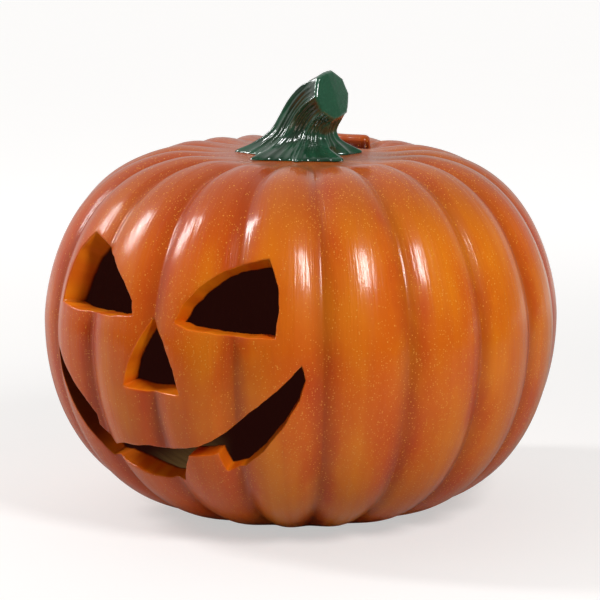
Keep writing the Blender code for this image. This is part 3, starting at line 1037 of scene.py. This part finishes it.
# %% Sizes of the flutes
FLUTES = 8.0
FLUTE_POWER = 0.8
FLUTED_SIDES = (0.93, 0.99, 1.0, 0.0)
FINE_FLUTES = 32.0
FINE_DEPTH = 0.0021
FINE_SWELL = 60.0
FINE_TOP = (0.8, 0.97, 1.0, 0.12)
FINE_FOOT = (0.0, 0.15, 0.15, 1.0)
FINE_END_POWER = 6.0
BLUNT_SHARE = 0.9
BLUNT_WIDTH = (0.0, 0.16, 1.0, 0.0)


def flutes_tree():
    """The Geometry Nodes tree that presses flutes and toes into a bent tube."""
    tree, given, result = new_group("flutes", "GeometryNodeTree", {
        "Geometry": "Geometry", "Flutes": 8.0, "Fine Flutes": 24.0, "Fine Depth": 0.001,
        "Blunt Share": 0.5, "Seed": 0.0, "Paint": "Material",
    }, {"Geometry": "Geometry"})
    turn, stand, share = (stored(tree, name) for name in ("turn", "stand", "share"))

    def ridge(count, power):
        """A wave of so many ridges round the tube, from -1 in a valley to 1 on a ridge."""
        half_turns = times(tree, turn, times(tree, count, 0.5))
        dip = reckon(tree, "POWER", reckon(tree, "ABSOLUTE", reckon(tree, "SINE", half_turns)), power)
        return reckon(tree, "MULTIPLY_ADD", dip, -2.0, 1.0)

    from_toe = reckon(tree, "SUBTRACT", 1.0, reckon(tree, "COSINE", turn))
    blunt = spread(tree, from_toe, *BLUNT_WIDTH)
    held = times(tree, blunt, spread(tree, share, *SKIRT_SHARES, 1.0, 0.0))
    held = times(tree, held, given["Blunt Share"])
    broad_ridge = ridge(given["Flutes"], FLUTE_POWER)
    broad = times(tree, broad_ridge, stand)
    broad = reckon(tree, "SUBTRACT", broad, times(tree, held, times(tree, stand, 2.0)))
    broad = reckon(tree, "MAXIMUM", broad, stored(tree, "skirt"))
    swell = seeded_noise(tree, given["Seed"], FINE_SWELL)
    fading = times(tree, spread(tree, share, *FINE_TOP), spread(tree, share, *FINE_FOOT))
    fading = times(tree, fading, reckon(tree, "POWER", stored(tree, "shrink"), FINE_END_POWER))
    fine = times(tree, times(tree, ridge(given["Fine Flutes"], 1.0), swell), fading)
    reach = reckon(tree, "MULTIPLY_ADD", fine, given["Fine Depth"], broad)
    shown = times(tree, broad_ridge, spread(tree, share, *FLUTED_SIDES))
    push_and_paint(tree, given, result, "outward", reach, "ridge", shown)
    return tree


# %% The green paint
DEEP_GREEN = colour(25, 60, 40)
BRIGHT_GREEN = colour(38, 91, 65)
VALLEY_BROWN_AND_SHADE = colour(36, 44, 24)
VALLEY_SHADE_BAND = (0.2, -0.9, 0.0, 0.42)
VALLEY_START = (0.008, 0.035)
END_LIGHT_BAND = (0.0885, 0.0899, 0.0, 0.85)
GREEN_SCALE = 90.0
GREEN_ROUGH = (0.0, 1.0, 0.18, 0.3)


def green_paint():
    """Two greens brushed into each other, brown and painted shade in the valleys, painted light on the
    end, under a high gloss.
    """
    made, tree, shader = paint("green_paint", {
        "Specular IOR Level": 0.2,
        "Coat Weight": 1.0,
        "Coat Roughness": 0.05,
        "Coat IOR": 1.75,
    })
    grain = painted_by(tree, "grain", "Vector")
    along = node(tree, "ShaderNodeSeparateXYZ", Vector=grain).outputs["Z"]
    green = group(tree, CLOUDY, Grain=grain, Scale=GREEN_SCALE, One=BRIGHT_GREEN, Other=DEEP_GREEN)
    # Brown tone in the flute valleys, partly painted shade.
    valley = spread(tree, painted_by(tree, "ridge"), *VALLEY_SHADE_BAND)
    valley = times(tree, valley, spread(tree, along, *VALLEY_START))
    shaded = blend(tree, valley, green["Colour"], VALLEY_BROWN_AND_SHADE)
    # Painted light: the end face is made a lighter, even green.
    shaded = blend(tree, spread(tree, along, *END_LIGHT_BAND), shaded, BRIGHT_GREEN)
    lines = group(tree, BRUSH_LINES, Grain=grain, Fineness=900.0, Stretch=0.3)
    rough = spread(tree, lines["Dullness"], *GREEN_ROUGH)
    dress(tree, shader, {"Base Color": shaded, "Roughness": rough}, lines["Height"], 0.3)
    return made


shape_with(stem, flutes_tree(), {
    "Flutes": FLUTES,
    "Fine Flutes": FINE_FLUTES,
    "Fine Depth": FINE_DEPTH,
    "Blunt Share": BLUNT_SHARE,
    "Seed": RIB_SEED,
    "Paint": green_paint(),
})
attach(stem, "root")
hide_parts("stem")

# %% [markdown]
# ## The bar behind the stem
# A short rounded bar stands behind the stem, moulded in one with the shell. It is a box with all its
# edges rounded by a bevel. Its long edges are then divided, so that the sides can take a slight wave,
# and its foot reaches into the shell. It has the shell's paint, with painted shade on its lower front,
# which reaches the paint as a groove value above 1.

# %% Sizes of the bar
BAR_WIDE = 0.050
BAR_DEEP = 0.014
BAR_SIDE = -0.0045
BAR_BACK = 0.092
BAR_TOP = 0.3600
BAR_BOTTOM = 0.3400
BAR_ROUND = 0.0058
BAR_ROUND_STEPS = 8
BAR_CUTS = 24
BAR_LONG_EDGE = 0.01
BAR_WAVES = ((0.0005, 90.0), (0.0004, 120.0))
BAR_CREST = 0.0006
BAR_SHADE_FADE = 0.0085
BAR_SHADE_FRONT = (3, 0.9)
BAR_SHADE_GROOVE = (0.35, 1.6)


def make_bar():
    """A rounded box with a slight wave, with the values that the orange paint reads."""
    work = bmesh.new()
    bmesh.ops.create_cube(work, size=1.0)
    for corner in work.verts:
        corner.co.x = BAR_SIDE + corner.co.x * BAR_WIDE
        corner.co.y = BAR_BACK + corner.co.y * BAR_DEEP
        corner.co.z = BAR_TOP if corner.co.z > 0 else BAR_BOTTOM
    bmesh.ops.bevel(work, geom=work.edges[:], offset=BAR_ROUND, segments=BAR_ROUND_STEPS, profile=0.5,
                    affect="EDGES")
    ends = [(edge, [corner.co.x for corner in edge.verts]) for edge in work.edges]
    long_edges = [edge for edge, (one, other) in ends if abs(one - other) > BAR_LONG_EDGE]
    bmesh.ops.subdivide_edges(work, edges=long_edges, cuts=BAR_CUTS, use_grid_fill=True)
    (up, up_scale), (out, out_scale) = BAR_WAVES
    for corner in work.verts:
        corner.co.z += up * noise.noise(corner.co * up_scale)
        corner.co.y += out * noise.noise(corner.co * out_scale)
    mesh = bpy.data.meshes.new("back_bar")
    work.to_mesh(mesh)
    work.free()
    x, y, z = np.array([corner.co[:] for corner in mesh.vertices]).T
    # Painted shade: darker below the top and towards the front face, stored as a groove value above 1.
    lower = ease((BAR_TOP - z - BAR_CREST) / BAR_SHADE_FADE)
    front = ease((BAR_BACK - y) / BAR_DEEP * BAR_SHADE_FRONT[0] + BAR_SHADE_FRONT[1])
    store(mesh, "grain", "FLOAT_VECTOR", np.stack([y, z, x], 1))
    store(mesh, "wall", "FLOAT", np.zeros(len(x)))
    store(mesh, "groove", "FLOAT", BAR_SHADE_GROOVE[0] + BAR_SHADE_GROOVE[1] * lower * front)
    mesh.materials.append(ORANGE_PAINT)
    mesh.shade_smooth()
    return in_scene("back_bar", mesh)


bar = make_bar()
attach(bar, "root")
print("bar:", len(bar.data.polygons), "faces")

# %% [markdown]
# ## Floor, light and camera
# A glossy thing is seen by what it mirrors, so the lights are soft oval panels. One stands to the right
# of the camera and above it, and makes the bright patch on each rib. Another stands far to the left. A
# pale room fills the shadows and gives the greyish sheen where the surface turns away.
#
# The floor is pale paper with painted light: it glows by itself, brighter to the camera than to the
# pumpkin, and its glow lights the pumpkin only from behind it. The varnish would mirror it as a grey
# veil over the lower half, so the floor's own material uses Light Path to be darker for mirrored rays on
# the near side.

# %% Floor
FLOOR_HALF = 15.0
BACK_WAY = math.radians(33.3)
GLOW_STARTS = (0.2, 2.4)
MIRROR_FADE = (-0.15, -0.8)
PAPER = (colour(194, 193, 192), colour(190, 189, 188))
MIRROR_GREY = colour(72, 70, 68)
SEEN_NEAR = colour(210, 209, 208)
SEEN_FAR = colour(255, 254, 253)
LIGHT_FAR = colour(216, 214, 212)


def make_floor():
    """Pale paper with painted light: it glows to the camera, most behind the pumpkin, and lights it only
    from behind.
    """
    mesh = bpy.data.meshes.new("floor")
    corners = [(-1, -1), (1, -1), (1, 1), (-1, 1)]
    mesh.from_pydata([(x * FLOOR_HALF, y * FLOOR_HALF, 0) for x, y in corners], [], [(0, 1, 2, 3)])
    made, tree, shader = paint("floor_paper", {
        "Roughness": 0.9,
        "Specular IOR Level": 0.1,
        "Emission Strength": 0.8,
    })
    place = node(tree, "ShaderNodeTexCoord").outputs["Object"]
    fibre = noise_at(tree, place, 3.0, 2.0)
    back = (-math.sin(BACK_WAY), math.cos(BACK_WAY), 0.0)
    behind = reckon(tree, "DOT_PRODUCT", place, back, vector=True)
    rays = node(tree, "ShaderNodeLightPath").outputs
    mirrored = times(tree, rays["Is Glossy Ray"], spread(tree, behind, *MIRROR_FADE))
    pale = blend(tree, mirrored, blend(tree, fibre, *PAPER), MIRROR_GREY)
    near = blend(tree, rays["Is Camera Ray"], NO_GLOW, SEEN_NEAR)
    far = blend(tree, rays["Is Camera Ray"], LIGHT_FAR, SEEN_FAR)
    glow = blend(tree, spread(tree, behind, *GLOW_STARTS), near, far)
    dress(tree, shader, {"Base Color": pale, "Emission Color": glow})
    mesh.materials.append(made)
    return in_scene("floor", mesh)


make_floor()

# %% Camera
LOOK_AT = Vector((0.0, 0.0, 0.191))
CAMERA_TURN = math.radians(33.3)
CAMERA_RISE = math.radians(9.6)
CAMERA_AWAY = 2.3
PICTURE_SIDE = 600
FOCAL_PIXELS = 2339.2
LOOK_AT_PIXEL = (301.0, 313.0)


def way_to(turn, rise):
    """The direction from the pumpkin towards a place this far round to the right and this far up."""
    return Vector((math.sin(turn) * math.cos(rise), -math.cos(turn) * math.cos(rise), math.sin(rise)))


def look_from(thing, turn, rise, away):
    """Stands a camera or a lamp this far away and turns it to the pumpkin."""
    back = way_to(turn, rise)
    thing.location = LOOK_AT + back * away
    thing.rotation_euler = back.to_track_quat("Z", "Y").to_euler()


def make_camera():
    """A long lens at the photo's height and side, shifted a little to put the pumpkin in its place."""
    data = bpy.data.cameras.new("camera")
    data.sensor_width = 36.0
    data.lens = data.sensor_width * FOCAL_PIXELS / PICTURE_SIDE
    data.shift_x = (PICTURE_SIDE / 2 - LOOK_AT_PIXEL[0]) / PICTURE_SIDE
    data.shift_y = (LOOK_AT_PIXEL[1] - PICTURE_SIDE / 2) / PICTURE_SIDE
    data.clip_end = 100.0
    camera = in_scene("camera", data)
    look_from(camera, CAMERA_TURN, CAMERA_RISE, CAMERA_AWAY)
    bpy.context.scene.camera = camera
    return camera


camera = make_camera()
print("camera lens", round(camera.data.lens, 2), "mm")

# %% Lights
PANELS = {
    # turn from the camera, rise, distance, width, height, power
    "key_panel": (31, 36, 2.2, 0.44, 0.8, 28),
    "left_panel": (-97, 38, 2.2, 0.24, 1.0, 22),
}


def make_panel(name, turn, rise, away, wide, high, power):
    """A soft oval lamp."""
    data = bpy.data.lights.new(name, "AREA")
    data.shape = "ELLIPSE"
    data.size, data.size_y = wide, high
    data.energy = power
    look_from(in_scene(name, data), CAMERA_TURN + math.radians(turn), math.radians(rise), away)


for name, values in PANELS.items():
    make_panel(name, *values)

# %% The room's own light, and how the picture is developed
ROOM_BEHIND = 0.56
ROOM_FRONT = 0.1
ROOM_FADE = (-0.3, 0.75)
ROOM_BEHIND_WAY = -way_to(CAMERA_TURN + math.radians(25), math.radians(-12))


def make_room():
    """A room that is pale behind the pumpkin and dark on the side of the camera."""
    world = bpy.data.worlds.new("pale_room")
    world.use_nodes = True
    tree = world.node_tree
    facing = node(tree, "ShaderNodeTexCoord").outputs["Generated"]
    behind = reckon(tree, "DOT_PRODUCT", facing, tuple(ROOM_BEHIND_WAY), vector=True)
    background = tree.nodes["Background"]
    background.inputs["Color"].default_value = (1.0, 0.98, 0.97, 1.0)
    strength = spread(tree, behind, *ROOM_FADE, ROOM_FRONT, ROOM_BEHIND)
    feed(tree, strength, background.inputs["Strength"])
    bpy.context.scene.world = world


make_room()
bpy.context.scene.view_settings.view_transform = "Standard"
bpy.context.scene.view_settings.look = "None"
